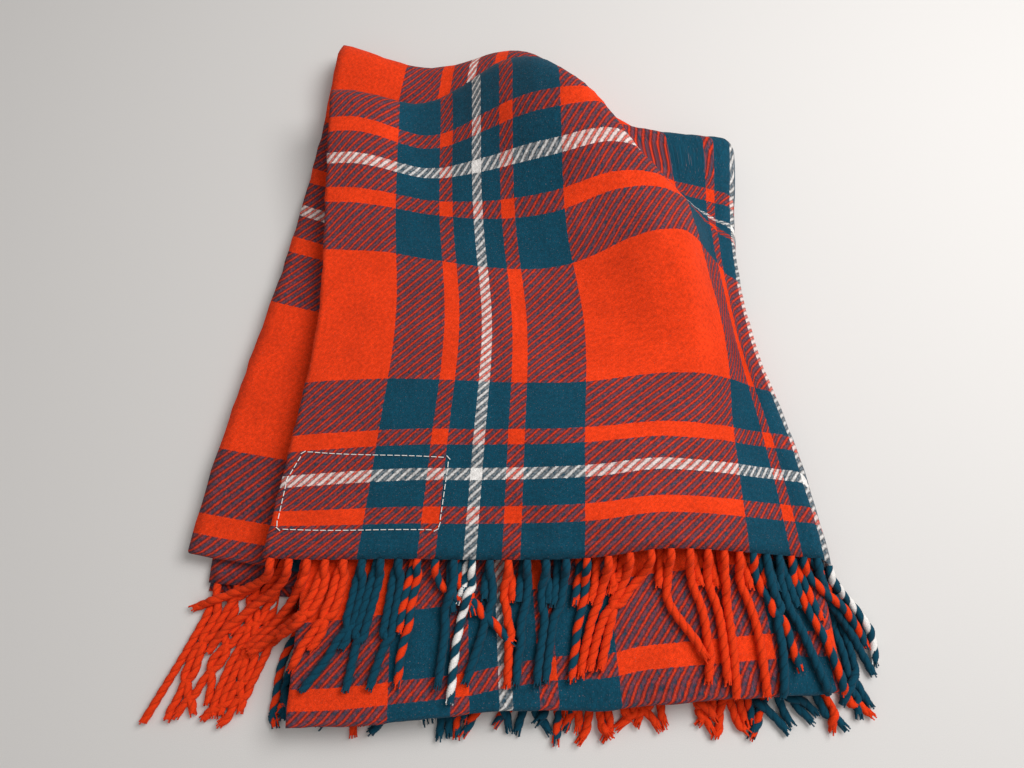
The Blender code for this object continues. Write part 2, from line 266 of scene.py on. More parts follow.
# How far the second layer's end has slipped back, at places across it
TUCK_ACROSS = (0.00, 0.10, 0.16, 0.36, 0.42, 0.46, 0.60, 0.72, 0.857)
TUCK = (0.038, 0.055, 0.092, 0.092, 0.030, 0.000, 0.000, 0.018, 0.020)

# Towards the right, more of the layer below shows between its front fold and its first row
SPREAD_ACROSS = (0.00, 0.14, 0.22, 0.40, 0.43, 0.857)
SPREAD = (0.000, 0.001, 0.010, 0.010, 0.008, 0.000)
SPREAD_RISE = 0.03
SPREAD_END = 0.30
SPREAD_FALL = 0.12

# The middle white stripe lies just on top of the side fold
SIDE_SLIP = 0.010
SIDE_SLIP_REACH = 0.05


def smooth_step(x):
    """Rise smoothly from 0 to 1 as x goes from 0 to 1."""
    x = np.clip(x, 0.0, 1.0)
    return x * x * (3.0 - 2.0 * x)


def curve(at, stations, values):
    """Smooth curve through values at rising stations."""
    stations = np.asarray(stations)
    values = np.asarray(values)
    slopes = np.gradient(values, stations)
    i = np.clip(np.searchsorted(stations, at) - 1, 0, len(stations) - 2)
    span = stations[i + 1] - stations[i]
    t = (at - stations[i]) / span
    start = values[i] * (1 + 2 * t) * (1 - t) ** 2 + slopes[i] * span * t * (1 - t) ** 2
    end = values[i + 1] * t * t * (3 - 2 * t) + slopes[i + 1] * span * t * t * (t - 1)
    return start + end


PLAN_CURVES = {name: [row[k] for row in PLAN[::-1]] for k, name in enumerate(PLAN_COLUMNS)}


def plan(name, along):
    """One column of the plan at a distance along."""
    return curve(along, PLAN_CURVES["along"], PLAN_CURVES[name])


def puffs(table, x, y):
    """Height of the soft swellings over a place on the floor."""
    height = np.zeros(np.broadcast(x, y).shape)
    for peak, px, py, rx, ry in table:
        height = height + peak * np.exp(-((x - px) / rx) ** 2 - ((y - py) / ry) ** 2)
    return height


def beyond_steep(x, y):
    """How far a place lies beyond the steep line, which bends more towards the front."""
    right = x - STEEP_POINT[0]
    back = y - STEEP_POINT[1]
    along = right * STEEP_NORMAL[1] - back * STEEP_NORMAL[0]
    beyond = right * STEEP_NORMAL[0] + back * STEEP_NORMAL[1]
    return beyond - STEEP_BEND * np.clip(along * np.abs(along), *STEEP_BEND_LIMITS)


def upper_puff(x, y):
    """Swelling of the upper half, cut off along the steep line."""
    beyond = beyond_steep(x, y)
    fold_x = plan("fold_x", np.clip(y - SIDE_FOLD_BACK, -SIDE_FOLD_RUN, 0.0))
    inside = smooth_step((fold_x + SIDE_FOLD_MARGIN - x) / SIDE_FOLD_FADE)
    return puffs(UPPER_PUFFS, x, y) * inside / (1 + np.exp(beyond / STEEP_WIDTH))


def outwards(height):
    """How far out a layer lies: 0 on the two inner layers, 1 on the two outer ones."""
    return smooth_step((height - SECOND) / LAYER_PITCH)


def place(side, along, height):
    """Point of the laid-out stack: side from the side fold, along from the back fold."""
    turn = height * math.pi / 2
    angle = np.clip(side / height, -math.pi / 2, math.pi / 2)
    across = np.where(np.abs(side) < turn, height * np.cos(angle), turn - np.abs(side))
    level = -height * np.sin(angle)
    upper = smooth_step((level / height + 1) / 2)

    outer = outwards(height)
    drawn = along * (1 - DRAW_IN * outer * upper)
    x0 = plan("fold_x", drawn)
    y0 = plan("fold_y", drawn)
    spread = LOWER_SPREAD * np.clip(-along, 0.0, LOWER_SPREAD_REACH) * (1 - OUTER_SPREAD_LOSS * outer)
    lower_part = -across / (WIDTH - SIDE_FOLD + spread - turn)
    upper_part = -across / (SIDE_FOLD - turn)
    low_x = x0 + (plan("lower_x", drawn) - x0) * lower_part
    low_y = y0 + (plan("lower_y", drawn) - y0) * lower_part
    up_x = x0 + (plan("upper_x", drawn) - x0) * upper_part
    up_y = y0 + (plan("upper_y", drawn) - y0) * upper_part

    crowd = curve(drawn, CROWD_ALONG, CROWD) * outer
    up_x = up_x + crowd * curve(np.clip(-across, 0.0, SIDE_FOLD), CROWD_REACH, CROWD_SHARE)
    at_back = smooth_step(1 + drawn / BULGE_DEPTH)
    up_y = up_y + UPPER_BULGE * at_back * np.exp(-((up_x - UPPER_BULGE_X) / BULGE_RADIUS) ** 2)
    low_y = low_y + LOWER_BULGE * at_back * np.exp(-((low_x - LOWER_BULGE_X) / BULGE_RADIUS) ** 2)

    x = low_x + (up_x - low_x) * upper
    y = low_y + (up_y - low_y) * upper
    lower_share = np.clip(1 + level / TOP, 0.0, 1.0)
    upper_share = np.clip(level / TOP, 0.0, 1.0)
    z = SHEET / 2 + TOP + level
    z = z + puffs(LOWER_PUFFS, x, y) * lower_share + upper_puff(x, y) * upper_share
    return np.stack([x - CENTRE[0], y - CENTRE[1], z], axis=-1)


def looseness(across):
    """How much wider than its layers' pitch the back fold turns."""
    side = across - SIDE_FOLD
    point = place(np.array(side), np.array(OPENING_ALONG), np.array(TOP - OPENING_BELOW))
    x = point[0] + CENTRE[0]
    y = point[1] + CENTRE[1]
    swelling = upper_puff(x, y) if side < 0 else puffs(LOWER_PUFFS, x, y)
    return 1.0 + float(swelling) / TOP


def turn(centre, reach, low, high, spans, towards):
    """Half an ellipse from one layer to the next: distances along and heights."""
    angle = np.linspace(math.pi / 2, -math.pi / 2, spans + 1)
    along = centre + towards * reach * np.cos(angle)
    height = (low + high) / 2 + (high - low) / 2 * np.sin(angle)
    return along, height


def front_shift(across):
    """How far the front fold lies behind its place by the cloth's length."""
    return float(curve(across, FRONT_SHIFT_ACROSS, FRONT_SHIFT))


def tucked(across):
    """How far the second layer's end has slipped back."""
    return float(np.interp(across, TUCK_ACROSS, TUCK))


def profile(across):
    """The cloth's length, folded in four: distances along and heights of its stations."""
    level = [LAYER_PITCH * (INNER_LAYER + k) + MIDDLE_GAP / 2 for k in range(4)]
    loose = looseness(across)
    outer_reach = OUTER_TURN_REACH * LAYER_PITCH * loose
    inner_reach = INNER_TURN_REACH * LAYER_PITCH * loose
    front_reach = 0.5 * LAYER_PITCH
    back = -outer_reach
    outer_turn = math.pi * (outer_reach + 1.5 * LAYER_PITCH) / 2
    inner_turn = math.pi * (inner_reach + 0.5 * LAYER_PITCH) / 2
    inner_back = back + (outer_reach - inner_reach) / 2
    front_turn = math.pi * front_reach
    to_back = float(curve(across, BACK_FOLD_ACROSS, BACK_FOLD))
    first_end = back - (to_back - outer_turn / 2)
    shift = front_shift(across)
    front = back - (LENGTH / 2 - to_back - outer_turn / 2 - front_turn / 2) + shift
    used = (back - first_end) + outer_turn + (back - front) + front_turn
    used += (inner_back - front) + inner_turn
    last_end = inner_back - (LENGTH - used - 2 * shift) + tucked(across)

    def run(start, end):
        """Even stations of one layer."""
        return np.linspace(start, end, RUN_SPANS + 1)

    runs = [
        (run(first_end, back), level[3]),
        turn(back, outer_reach, level[0], level[3], OUTER_TURN_SPANS, 1),
        (run(back, front), level[0]),
        turn(front, front_reach, level[1], level[0], INNER_TURN_SPANS, -1),
        (run(front, inner_back), level[1]),
        turn(inner_back, inner_reach, level[2], level[1], INNER_TURN_SPANS, 1),
        (run(inner_back, last_end), level[2]),
    ]
    along = []
    height = []
    for run_along, run_height in runs:
        start = 1 if along else 0
        along += list(run_along[start:])
        height += list(np.broadcast_to(run_height, run_along.shape)[start:])
    return np.array(along), np.array(height)


def side_fold(along, height):
    """Distance across the cloth of the side fold, which the inner layers have slipped."""
    return SIDE_FOLD + SLIP * along * (1 - outwards(height))


def across_stations():
    """Distances from the side fold for a cloth whose fold lies at its place at the back."""
    upper = np.linspace(-SIDE_FOLD, -SIDE_TURN_REACH, UPPER_SPANS + 1)[:-1]
    lower = np.linspace(SIDE_TURN_REACH, WIDTH - SIDE_FOLD, LOWER_SPANS + 1)[1:]
    share = np.linspace(-1, 1, SIDE_TURN_SPANS + 1)
    turned = SIDE_TURN_REACH * np.sign(share) * np.abs(share) ** SIDE_TURN_CROWDING
    return np.concatenate([upper, turned, lower])


def sides(nominal, along, height):
    """Distances from the side fold, stretched so that the edges stay at the cloth's edges."""
    reach = SIDE_TURN_REACH
    fold = side_fold(along, height)
    upper = -reach + (nominal + reach) * (fold - reach) / (SIDE_FOLD - reach)
    lower = reach + (nominal - reach) * (WIDTH - fold - reach) / (WIDTH - SIDE_FOLD - reach)
    return np.where(nominal < -reach, upper, np.where(nominal > reach, lower, nominal))


def grid_normals(points):
    """Unit normals of a grid of points."""
    along = np.gradient(points, axis=0)
    across = np.gradient(points, axis=1)
    normal = np.cross(along, across)
    return normal / np.linalg.norm(normal, axis=-1, keepdims=True)


def ripples(u, v):
    """Slight unevenness of the cloth at a place in it."""
    height = np.zeros(u.shape)
    for peak, wave_u, wave_v, slant, phase in RIPPLES:
        across = np.sin(2 * math.pi * (u + slant * v) / wave_u + phase)
        along = np.sin(2 * math.pi * (v - slant * u) / wave_v + 2 * phase)
        height = height + peak * across * along
    return height


def lengths_along(across, along, height):
    """Distances along the cloth of its stations, with the cloth that its folds and end take up."""
    steps = np.hypot(np.diff(along), np.diff(height))
    steps[FRONT_TURN_START:FRONT_TURN_START + INNER_TURN_SPANS] *= FRONT_TURN_FULLNESS
    steps[-RUN_SPANS:] += tucked(across) / RUN_SPANS
    for run in (FRONT_TURN_START - RUN_SPANS, FRONT_TURN_START + INNER_TURN_SPANS):
        steps[run:run + RUN_SPANS] += front_shift(across) / RUN_SPANS
    v = np.concatenate([[0.0], np.cumsum(steps)])
    return v * LENGTH / v[-1]


def slipped_along(v, across, side, along, height, column):
    """Distances along the cloth where its layers have slipped a little on each other."""
    near_front_fold = np.exp(-((v - LENGTH / 2) / FRONT_SLIP_REACH) ** 2)
    v = v - FRONT_SLIP * np.tanh(side / TURN_BLEND) * near_front_fold

    beyond = beyond_steep(column[:, 0] + CENTRE[0], column[:, 1] + CENTRE[1])
    at_corner = smooth_step((beyond + CORNER_SLIP_START) / CORNER_SLIP_BLEND) * outwards(height)
    at_corner *= smooth_step(-along / CORNER_SLIP_REACH) * smooth_step(1 - side / CORNER_SLIP_SIDE)
    v = v + CORNER_SLIP * at_corner

    from_edge = np.clip(SIDE_FOLD + side, 0.0, SIDE_FOLD)
    rows = curve(from_edge, ROW_SLIP_ACROSS, ROW_SLIP)
    rows = rows * smooth_step((v - ROW_SLIP_START) / ROW_SLIP_BLEND) * (1 - at_corner)
    edge = EDGE_SLIP * np.exp(-from_edge / EDGE_SLIP_REACH) * smooth_step(v / EDGE_SLIP_BLEND)
    v = v + (rows + edge) * outwards(height) * smooth_step(-side / TOP_BLEND)

    from_fold = v - LENGTH / 2
    near = smooth_step(from_fold / SPREAD_RISE) * smooth_step((SPREAD_END - from_fold) / SPREAD_FALL)
    return v - np.interp(across, SPREAD_ACROSS, SPREAD) * near


def fine_cloth():
    """The cloth's middle surface as a fine grid, with each point's place in the flat cloth."""
    columns, across_cloth, along_cloth = [], [], []
    for nominal in across_stations():
        across = SIDE_FOLD + nominal
        along, height = profile(across)
        side = sides(nominal, along, height)
        column = place(side, along, height)
        near_side_fold = np.exp(-(side / SIDE_SLIP_REACH) ** 2)
        v = lengths_along(across, along, height)
        columns.append(column)
        across_cloth.append(side + side_fold(along, height) + SIDE_SLIP * near_side_fold)
        along_cloth.append(slipped_along(v, across, side, along, height, column))
    return [np.stack(values, axis=1) for values in (columns, across_cloth, along_cloth)]


def wool_mesh(name, vertices, faces):
    """A smooth mesh from arrays."""
    mesh = bpy.data.meshes.new(name)
    mesh.from_pydata(np.asarray(vertices).tolist(), [], [tuple(face) for face in faces])
    mesh.shade_smooth()
    return mesh


def add_piece(name, mesh):
    """Link a mesh to the scene as an object at the origin."""
    piece = bpy.data.objects.new(name, mesh)
    bpy.context.scene.collection.objects.link(piece)
    return piece


def cloth_piece(points, u, v, wool):
    """The cloth as a closed sheet with its place in the flat cloth as its UV map."""
    normal = grid_normals(points)
    rows, cols = u.shape
    middle = points + normal * ripples(u, v)[..., None]
    waver = sum(np.sin(v * 2 * math.pi / wave + phase) for wave, phase in EDGE_WAVES)
    outwards_at_edge = np.zeros(u.shape)
    outwards_at_edge[:, 0] = -EDGE_WAVER
    outwards_at_edge[:, -1] = EDGE_WAVER
    aside = np.gradient(points, axis=1)
    aside /= np.linalg.norm(aside, axis=-1, keepdims=True)
    middle = middle + aside * (outwards_at_edge * waver)[..., None]
    skins = [middle + normal * (SHEET / 2), middle - normal * (SHEET / 2)]
    vertices = np.concatenate([skin.reshape(-1, 3) for skin in skins])
    vertices[:, 2] = np.maximum(vertices[:, 2], 0.0)
    grid = np.arange(rows * cols).reshape(rows, cols)
    top = np.stack([grid[:-1, :-1], grid[:-1, 1:], grid[1:, 1:], grid[1:, :-1]], -1).reshape(-1, 4)
    under = top[:, ::-1] + rows * cols
    rim = np.concatenate([grid[:, 0], grid[-1, 1:], grid[-2::-1, -1], grid[0, -2::-1]])
    sides_of_rim = np.stack(
        [rim[:-1], rim[1:], rim[1:] + rows * cols, rim[:-1] + rows * cols], -1
    )
    faces = np.concatenate([top, under, sides_of_rim])
    mesh = wool_mesh("cloth", vertices, faces)
    layer = mesh.uv_layers.new(name="flat_cloth")
    flat = np.tile(np.stack([u.ravel(), v.ravel()], -1), (2, 1))
    loops = np.empty(len(mesh.loops), dtype=np.int32)
    mesh.loops.foreach_get("vertex_index", loops)
    layer.data.foreach_set("uv", flat[loops].astype(np.float32).ravel())
    mesh.materials.append(wool)
    return add_piece("tartan_cloth", mesh)


def cloth_trees(mesh, shape):
    """Search trees of the whole cloth, and of the cloth without its top layer."""
    rows, cols = shape
    vertices = [tuple(vertex.co) for vertex in mesh.vertices]
    faces = [tuple(face.vertices) for face in mesh.polygons]
    top_vertices = RUN_SPANS * cols
    inner = [face for face in faces if face[0] % (rows * cols) >= top_vertices]
    return BVHTree.FromPolygons(vertices, faces), BVHTree.FromPolygons(vertices, inner)


# Materials

TWILL_THREADS = 4.0
FLECKS = (0.85, 0.40, 0.28, 1.0)
WOOL_FINISH = {
    "Roughness": 0.95,
    "Specular IOR Level": 0.15,
    "Sheen Weight": 0.06,
    "Sheen Roughness": 0.5,
    "Sheen Tint": (1.0, 0.55, 0.40, 1.0),
}


class Graph:
    """Short way to write nodes."""

    def __init__(self, tree):
        self.tree = tree

    def put(self, socket, value):
        """Set an input, or link it to a socket or to a node's first output."""
        if isinstance(value, bpy.types.Node):
            value = value.outputs[0]
        if isinstance(value, bpy.types.NodeSocket):
            self.tree.links.new(value, socket)
        else:
            socket.default_value = value

    def add(self, kind, inputs=None, **settings):
        """Add a node with its own settings and its inputs, by name or number."""
        made = self.tree.nodes.new(kind)
        for key, value in settings.items():
            setattr(made, key, value)
        for key, value in (inputs or {}).items():
            self.put(made.inputs[key], value)
        return made

    def math(self, operation, *values):
        """A math node of numbers, sockets or nodes."""
        made = self.add("ShaderNodeMath", dict(enumerate(values)), operation=operation)
        return made.outputs[0]


class Surface(Graph):
    """A material's nodes."""

    def __init__(self, name):
        self.material = bpy.data.materials.new(name)
        self.material.use_nodes = True
        super().__init__(self.material.node_tree)
        self.shader = self.tree.nodes["Principled BSDF"].inputs

    def times(self, one, other):
        """The product of two numbers or sockets."""
        return self.math("MULTIPLY", one, other)

    def varied(self, shade, grain, amount):
        """A shade that a grain makes lighter and darker."""
        return self.times(shade, self.math("ADD", self.times(grain, amount), 1.0))

    def noise(self, vector, scale, detail=2.0, roughness=0.5):
        """A noise texture's value from -0.5 to 0.5."""
        made = self.add("ShaderNodeTexNoise", {
            "Vector": vector, "Scale": scale, "Detail": detail, "Roughness": roughness})
        return self.math("SUBTRACT", made.outputs["Fac"], 0.5)

    def between(self, value, low, high, low_out=0.0, high_out=1.0):
        """Map a range smoothly to another."""
        ends = {"From Min": low, "From Max": high, "To Min": low_out, "To Max": high_out}
        made = self.add("ShaderNodeMapRange", {"Value": value, **ends},
                        interpolation_type="SMOOTHSTEP")
        return made.outputs["Result"]

    def mix(self, factor, one, other, blend="MIX"):
        """Mix two colours."""
        made = self.add("ShaderNodeMix", {"Factor": factor, 6: one, 7: other},
                        data_type="RGBA", blend_type=blend)
        return made.outputs[2]

    def paint(self, colour, shade):
        """Give the surface a colour times a shade."""
        tint = self.add("ShaderNodeCombineColor", dict.fromkeys(range(3), shade))
        painted = self.mix(1.0, colour, tint.outputs[0], "MULTIPLY")
        self.put(self.shader["Base Color"], painted)
        return painted

    def finish(self, relief, strength, distance):
        """Give the surface its relief and the sheen of wool."""
        bump = self.add("ShaderNodeBump", {
            "Strength": strength, "Distance": distance, "Height": relief})
        for name, value in {"Normal": bump, **WOOL_FINISH}.items():
            self.put(self.shader[name], value)

    def stripes(self, value):
        """Colour of the tartan's stripes for a number from 0 to 1 through one repeat."""
        made = self.add("ShaderNodeValToRGB", {"Fac": value})
        ramp = made.color_ramp
        ramp.interpolation = "CONSTANT"
        start = 0
        for k, (colour, threads) in enumerate(STRIPES):
            at = start / REPEAT_THREADS
            element = ramp.elements[k] if k < 2 else ramp.elements.new(at)
            element.position = at
            element.color = (*WOOL[colour], 1.0)
            start += threads
        return made.outputs["Color"]


def thread_numbers(n, uv, fuzz):
    """Numbers of the warp and weft threads at a place, which the felting moves a little."""
    parts = n.add("ShaderNodeSeparateXYZ", {0: uv})
    across = n.math("ADD", n.times(fuzz, 0.0011), n.times(n.noise(uv, scale=260.0), 0.0009))
    along = n.times(n.noise(uv, scale=770.0), 0.0016)
    numbers = []
    for k, (moved, first) in enumerate(((across, FIRST_WARP), (along, FIRST_WEFT))):
        at = n.math("ADD", parts.outputs[k], moved)
        numbers.append(n.math("DIVIDE", n.math("SUBTRACT", at, first), THREAD))
    return numbers


def thread_colour(n, number):
    """Colour of the thread with a number."""
    middle = n.math("ADD", n.math("FLOOR", number), 0.5)
    return n.stripes(n.math("FRACT", n.math("DIVIDE", middle, float(REPEAT_THREADS))))


def twill_line(n, uv, numbers, splits):
    """How far a place lies from a weft line: 0 on it, 0.5 on the warp line, with frayed edges."""
    warp_number, weft_number = numbers
    count = n.math("DIVIDE", n.math("SUBTRACT", weft_number, warp_number), TWILL_THREADS)
    line = n.math("ABSOLUTE", n.math("SUBTRACT", n.math("FRACT", count), 0.5))
    frayed = n.noise(uv, scale=520.0, detail=3.0, roughness=0.60)
    line = n.math("ADD", line, n.times(frayed, 0.24))
    redness = [n.math("SUBTRACT", split[0], split[1]) for split in splits]
    red_thinner = n.times(n.math("SUBTRACT", *redness), 0.065)
    return n.math("SUBTRACT", line, red_thinner)


def tartan_material():
    """Felted wool twill: warp and weft stripes that show in turn along the twill's lines."""
    n = Surface("tartan_wool")
    uv = n.add("ShaderNodeUVMap", uv_map="flat_cloth").outputs["UV"]
    fuzz = n.noise(uv, scale=900.0)
    clumps = n.noise(uv, scale=330.0, detail=3.0, roughness=0.6)
    grains = n.noise(uv, scale=1500.0, roughness=0.7)
    numbers = thread_numbers(n, uv, fuzz)
    warp, weft = [thread_colour(n, number) for number in numbers]
    splits = [n.add("ShaderNodeSeparateColor", {0: colour}).outputs for colour in (warp, weft)]
    line = twill_line(n, uv, numbers, splits)

    over = n.between(line, 0.17, 0.33)
    under = n.between(n.noise(uv, scale=420.0), -0.22, 0.22, 0.02, 0.34)
    cloth = n.mix(over, n.mix(under, weft, warp), n.mix(under, warp, weft))

    # Painted shade in the furrows between the lines, dark where warp and weft differ, faint where
    # felted over
    red_apart, green_apart = [
        n.math("ABSOLUTE", n.math("SUBTRACT", splits[0][k], splits[1][k])) for k in range(2)
    ]
    differ = n.between(n.math("ADD", red_apart, green_apart), 0.05, 0.50, 0.12, 1.0)
    furrow = n.math("ABSOLUTE", n.math("SUBTRACT", line, 0.25))
    furrow_shade_and_depth = n.times(n.between(furrow, 0.0, 0.20, 0.62, 0.10), differ)
    shade = n.varied(n.math("SUBTRACT", 1.04, furrow_shade_and_depth), clumps, 1.0)
    shade = n.varied(shade, n.noise(uv, scale=38.0, detail=3.0), 0.45)
    shade = n.varied(shade, grains, 1.35)
    flecks = n.between(n.noise(uv, scale=1150.0, detail=1.0), 0.14, 0.32, 0.0, 0.26)
    flecked = n.mix(flecks, n.paint(cloth, shade), FLECKS)
    n.put(n.shader["Base Color"], flecked)

    # The furrow depth that sets the painted shade also lowers the bump relief in the furrows
    relief = n.times(n.math("SUBTRACT", 0.52, furrow_shade_and_depth), 0.6)
    for grain, amount in ((fuzz, 0.9), (clumps, 1.2), (grains, 0.5)):
        relief = n.math("ADD", relief, n.times(grain, amount))
    n.finish(relief, strength=0.55, distance=0.0007)
    return n.material


def strand_material():
    """Twisted wool yarn: each ply takes its own colour, with painted shade in the groove between them.
    """
    n = Surface("fringe_wool")
    one = n.add("ShaderNodeAttribute", attribute_name="first_ply").outputs["Color"]
    other = n.add("ShaderNodeAttribute", attribute_name="second_ply").outputs["Color"]
    ply = n.add("ShaderNodeAttribute", attribute_name="ply").outputs["Fac"]
    place_of = n.add("ShaderNodeTexCoord").outputs["Object"]
    fuzz = n.noise(place_of, scale=950.0, detail=3.0, roughness=0.6)
    grains = n.noise(place_of, scale=2400.0, roughness=0.7)
    side = n.between(n.math("ADD", ply, n.times(fuzz, 0.35)), -0.10, 0.10)
    # Painted shade: darker in the groove where the two plies touch, slightly lighter on their crowns
    painted_groove_shade = n.between(n.math("ABSOLUTE", ply), 0.0, 0.45, 0.72, 1.06)
    n.paint(n.mix(side, other, one), n.varied(n.varied(painted_groove_shade, grains, 0.9), fuzz, 0.7))
    n.finish(n.math("ADD", fuzz, n.times(grains, 0.6)), strength=0.6, distance=0.0006)
    return n.material


def plain_material(name, colour, roughness):
    """A plain matt material with a fine grain."""
    n = Surface(name)
    place_of = n.add("ShaderNodeTexCoord").outputs["Object"]
    n.paint((*colour, 1.0), n.varied(1.0, n.noise(place_of, scale=1800.0), 0.25))
    n.put(n.shader["Roughness"], roughness)
    return n.material


# Fringe

# Lean of the strands on the top flap, from the open edge to the side fold: how far the middle and
# the tip lie to the right of the root, and how far in front of it the tip lies, in millimetres
TOP_STRANDS = (
    (-14, -60, 32), (-38, -76, 76), (-19, -48, 66), (-12, -66, 68), (-8, -31, 68),
    (-7, -40, 92), (-12, -20, 90), (-6, -18, 88), (-8, -12, 64), (22, 58, 58),
    (-2, -6, 62), (-8, -15, 101), (-2, -12, 74), (-2, 0, 66), (-4, -8, 70),
    (1, -3, 76), (-6, -12, 56), (-4, -10, 64), (-8, -18, 70), (-9, -20, 66),
    (-32, -45, 84), (-6, 17, 62), (9, 9, 92), (8, 13, 92), (1, 3, 100),
    (10, 14, 100), (15, 27, 70), (9, 5, 98), (12, 27, 96), (17, 31, 101),
    (29, 70, 66), (28, 61, 86), (24, 44, 54),
)
LOWER_LEAN_ACROSS = (0.43, 0.60, 0.70, 0.75, 0.80, 0.86)
LOWER_LEAN = (-30, -4, 10, 34, 30, 24)


def warp_colour(across):
    """Name of the colour of the warp thread at a place across the cloth."""
    number = math.floor((across - FIRST_WARP) / THREAD) % REPEAT_THREADS
    for colour, threads in STRIPES:
        if number < threads:
            break
        number -= threads
    return colour


def strand_colours(across):
    """Colours of a strand's two plies: the commonest of the warp threads that each is made of."""
    names = []
    for start in (-0.5, 0.0):
        counts = {}
        for k in range(PLY_THREADS):
            share = start + (k + 0.5) / (2 * PLY_THREADS)
            colour = warp_colour(across + share * STRAND_PITCH)
            counts[colour] = counts.get(colour, 0) + (WHITE_SHARE if colour == "white" else 1)
        names.append(max(counts, key=counts.get))
    return [(*WOOL[name], 1.0) for name in names]


def top_strand(at):
    """Middle's and tip's way to the right and reach of a strand on the top flap, in metres."""
    column = np.clip(at / STRAND_PITCH - 0.5, 0, len(TOP_STRANDS) - 1)
    return [
        float(np.interp(column, range(len(TOP_STRANDS)), values)) / 1000
        for values in zip(*TOP_STRANDS)
    ]


def strand_targets(points, u, above):
    """Knots, upper or not, place across and lengths of each strand of one end.

    The upper strands of the last end lie below those of the first end.
    """
    first = above is None
    row, inner = (0, 1) if first else (-1, -2)
    edge, behind, across = points[row], points[inner], u[row]
    generator = np.random.default_rng(7 if first else 11)
    ahead = np.array((0.0, -1.0, 0.0))
    right = np.array((1.0, 0.0, 0.0))
    strands = []
    for number in range(STRANDS):
        at = (number + 0.5) * STRAND_PITCH
        root = np.array([np.interp(at, across, edge[:, k]) for k in range(3)])
        back = np.array([np.interp(at, across, behind[:, k]) for k in range(3)])
        out = (root - back) / np.linalg.norm(root - back)
        upper = at < SIDE_FOLD
        if upper:
            middle, tip, reach = top_strand(at)
            wander = UPPER_WANDER
            lengths = FIRST_LENGTHS if first else LAST_LENGTHS
        else:
            bunch = (number // BUNCH) * BUNCH + (BUNCH - 1) / 2
            if number % BUNCH == 0 or strands[-1][1]:
                common = generator.uniform(-1, 1)
            tip = -float(curve(at, LOWER_LEAN_ACROSS, LOWER_LEAN)) / 1000
            tip += BUNCH_WANDER * common + BUNCH_SPREAD * (number - bunch) * STRAND_PITCH
            middle = tip * generator.uniform(0.1, 0.9)
            wander = LOWER_WANDER
            reach = min(root[1] - generator.uniform(*LOWER_TIPS), FRINGE)
            lengths = LOWER_LENGTHS
        tip += wander * generator.uniform(-1, 1)
        middle += wander * generator.uniform(-1, 1)
        halfway = root + ahead * reach * 0.5 + right * middle
        end = root + ahead * reach + right * tip
        if upper and not first:
            halfway, end = above[number][0][2:] - np.array((0.0, 0.0, LAYER_PITCH))
            end = end + (halfway - end) * LAST_SHORTER
        end[0] = min(end[0], FARTHEST_RIGHT)
        knots = np.stack([root, root + out * ROOT_REACH, halfway, end])
        strands.append((knots, upper, at, lengths))
    return strands


def way_of(path):
    """Direction in which a path ends."""
    way = path[-1] - path[BEFORE_TIP]
    return way / np.linalg.norm(way)


def even_path(knots, count, lengths):
    """Points at even distances on a smooth curve through knots, drawn out or cut to a length."""
    fine = np.linspace(0, 1, CURVE_POINTS)
    path = np.stack([curve(fine, KNOT_SHARES, knots[:, k]) for k in range(3)], axis=-1)
    reach = np.concatenate([[0], np.cumsum(np.linalg.norm(np.diff(path, axis=0), axis=1))])
    wanted = np.linspace(0, np.clip(reach[-1], *lengths), count)
    inside = np.stack([np.interp(wanted, reach, path[:, k]) for k in range(3)], axis=-1)
    beyond = np.clip(wanted - reach[-1], 0, None)[:, None]
    return inside + beyond * way_of(path)


def ground_under(places, cloth_tree):
    """Height of the top of a cloth, or of the floor, at places."""
    down = Vector((0, 0, -1))
    heights = []
    for x, y in places:
        hit = cloth_tree.ray_cast(Vector((x, y, RAY_HEIGHT)), down)[0]
        heights.append(0.0 if hit is None else max(0.0, hit.z))
    return np.array(heights)


def pushes(flat, strand_of):
    """How far points of different strands that are too near push each other away."""
    push = np.zeros(flat.shape)
    square = np.sum(flat ** 2, axis=1)
    near = square[:, None] + square[None, :] - 2 * flat @ flat.T < KEEP_OFF ** 2
    near &= strand_of[:, None] != strand_of[None, :]
    one, other = np.nonzero(np.triu(near))
    apart = flat[one] - flat[other]
    distance = np.maximum(np.linalg.norm(apart, axis=1), LEAST_DISTANCE)[:, None]
    way = apart / distance * (KEEP_OFF - distance) * PUSH_SHARE
    np.add.at(push, one, way)
    np.add.at(push, other, -way)
    return np.clip(push, -MOST_PUSH, MOST_PUSH)


